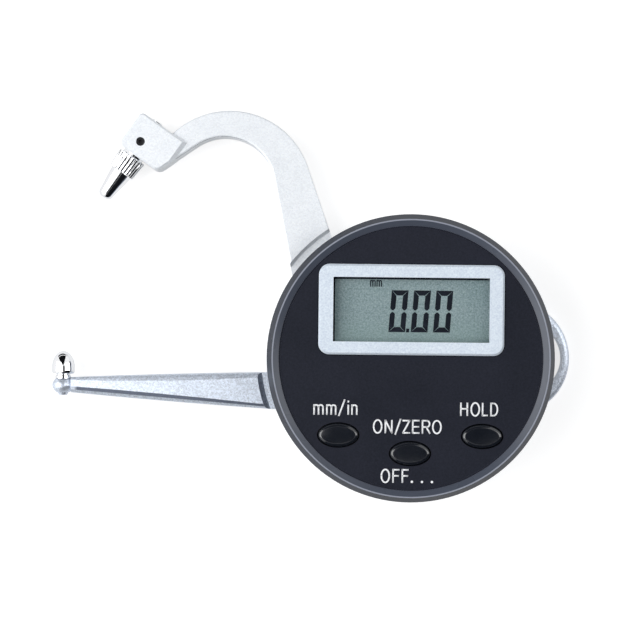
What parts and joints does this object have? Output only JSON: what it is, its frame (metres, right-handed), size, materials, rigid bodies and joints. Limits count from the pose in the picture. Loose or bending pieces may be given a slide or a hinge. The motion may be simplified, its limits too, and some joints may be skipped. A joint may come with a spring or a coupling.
{
  "type": "digital caliper gauge",
  "caption": "Hand-held digital caliper gauge with a round display case, a straight arm with an anvil tip and a curved swinging jaw arm for measuring wall thickness.",
  "frame": {"origin": "On the jaw's pivot axis, on the flat back face of the casting", "axes": "+X to the right along the display, from the tips to the hanging loop; +Y up the display; +Z out of the display"},
  "size_m": [0.112, 0.0828, 0.018],
  "materials": {
    "silver_paint": "fine hammered silver paint",
    "chrome_tip": "polished",
    "black_steel": "black oxide",
    "case_black": "satin",
    "face_black": "matt with a fine grain",
    "display_silver": "satin silver lacquer",
    "clear_window": "clear",
    "lcd_glass": "satin",
    "strip_rubber": "matt",
    "board_green": "satin",
    "chip_black": "gloss resin",
    "spring_steel": "bright",
    "bush_brass": "turned",
    "plain_steel": "ground",
    "screw_steel": "zinc plated",
    "cell_steel": "bright",
    "cap_black": "satin",
    "key_black": "gloss"
  },
  "bodies": {
    "gauge": {"frame_casting": "silver_paint", "anvil_tip": "chrome_tip", "case_shell": "case_black", "base_plate": "case_black", "face_plate": "face_black", "display_frame": "display_silver", "display_window": "clear_window", "lcd_panel": "lcd_glass", "connector_strips": "strip_rubber", "circuit_board": "board_green", "controller_chip": "chip_black", "snap_domes": "spring_steel", "rear_bush": "bush_brass", "front_bush": "bush_brass", "coin_cell": "cell_steel", "cell_spring": "spring_steel", "cell_clip": "spring_steel", "case_screws": "screw_steel", "board_screws": "screw_steel"},
    "jaw": {"jaw_arm": "silver_paint", "jaw_tip": "chrome_tip", "tip_set_screw": "black_steel", "pivot_shaft": "plain_steel", "spring_washer": "spring_steel", "encoder_rotor": "board_green", "rotor_screw": "screw_steel"},
    "key_units": {"key_units": "key_black"},
    "key_zero": {"key_zero": "key_black"},
    "key_hold": {"key_hold": "key_black"},
    "battery_cap": {"battery_cap": "cap_black"}
  },
  "joints": [
    {"name": "jaw_pivot", "type": "hinge", "parent": "gauge", "child": "jaw", "pos_m": [0, 0, 0], "axis": [0, 0, 1], "range_deg": [0, 26.5]},
    {"name": "key_units_press", "type": "slide", "parent": "gauge", "child": "key_units", "axis": [0, 0, -1], "range_m": [0, 0.0004], "stiffness_N_per_m": 1500, "springref_m": -0.0004},
    {"name": "key_zero_press", "type": "slide", "parent": "gauge", "child": "key_zero", "axis": [0, 0, -1], "range_m": [0, 0.0004], "stiffness_N_per_m": 1500, "springref_m": -0.0004},
    {"name": "key_hold_press", "type": "slide", "parent": "gauge", "child": "key_hold", "axis": [0, 0, -1], "range_m": [0, 0.0004], "stiffness_N_per_m": 1500, "springref_m": -0.0004},
    {"name": "battery_cap_turn", "type": "hinge", "parent": "gauge", "child": "battery_cap", "pos_m": [0, -0.017, 0], "axis": [0, 0, -1], "range_deg": [0, 90]}
  ]
}
